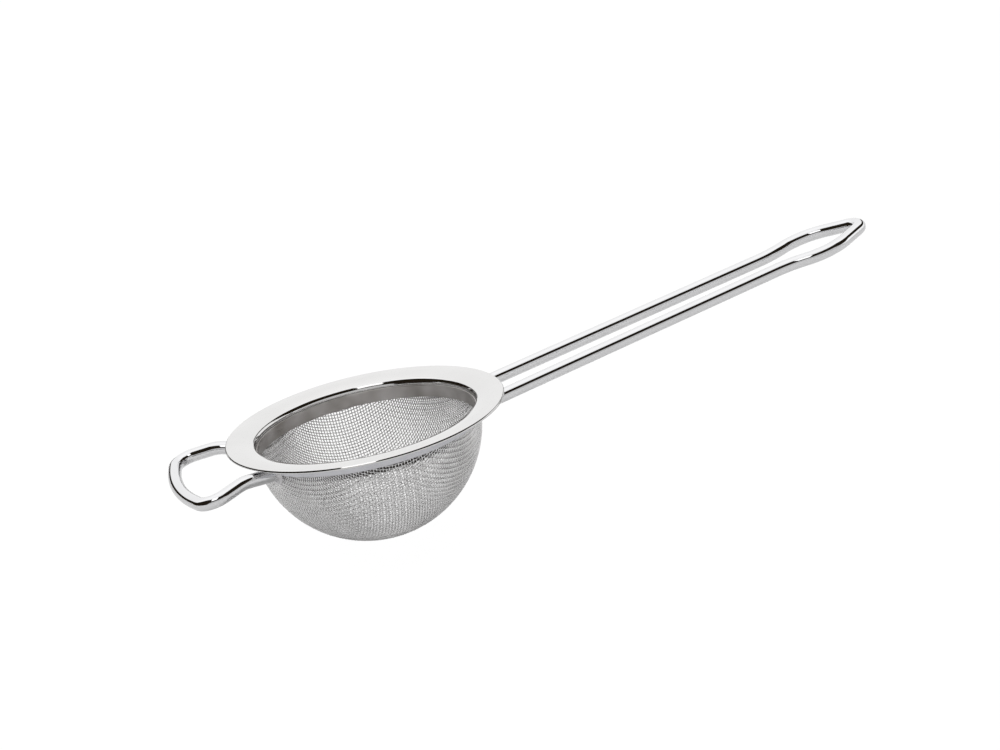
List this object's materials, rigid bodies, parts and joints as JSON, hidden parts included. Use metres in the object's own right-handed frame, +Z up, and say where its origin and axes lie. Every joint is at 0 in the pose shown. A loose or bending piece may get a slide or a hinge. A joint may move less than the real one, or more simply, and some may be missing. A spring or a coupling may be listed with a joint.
{
  "type": "tea strainer",
  "caption": "Stainless tea strainer: woven wire bowl in a wide pressed rim, hairpin wire handle with a hanging loop, and a rest loop that sits on a cup.",
  "frame": {"origin": "on the bowl's axis, at the height of the rim's flat top", "axes": "+Z up out of the bowl along its axis, +X from the bowl towards the handle's end, so the rest loop is on -X and the part is the same on both sides of Y = 0"},
  "size_m": [0.2528, 0.094, 0.0604],
  "materials": {
    "polished_sheet": "polished stainless sheet",
    "satin_steel": "plain stainless strip, slightly dull",
    "wire_cloth": "plain-woven stainless wire cloth",
    "bright_wire": "bright drawn and polished stainless wire",
    "weld_metal": "cleaned weld"
  },
  "bodies": {
    "root": {"rim_flange": "polished_sheet", "outer_collar": "satin_steel", "inner_ring": "satin_steel", "mesh_bowl": "wire_cloth", "handle_wire": "bright_wire", "rest_loop_wire": "bright_wire", "handle_weld_left": "weld_metal", "handle_weld_right": "weld_metal", "rest_weld_left": "weld_metal", "rest_weld_right": "weld_metal"}
  },
  "joints": []
}
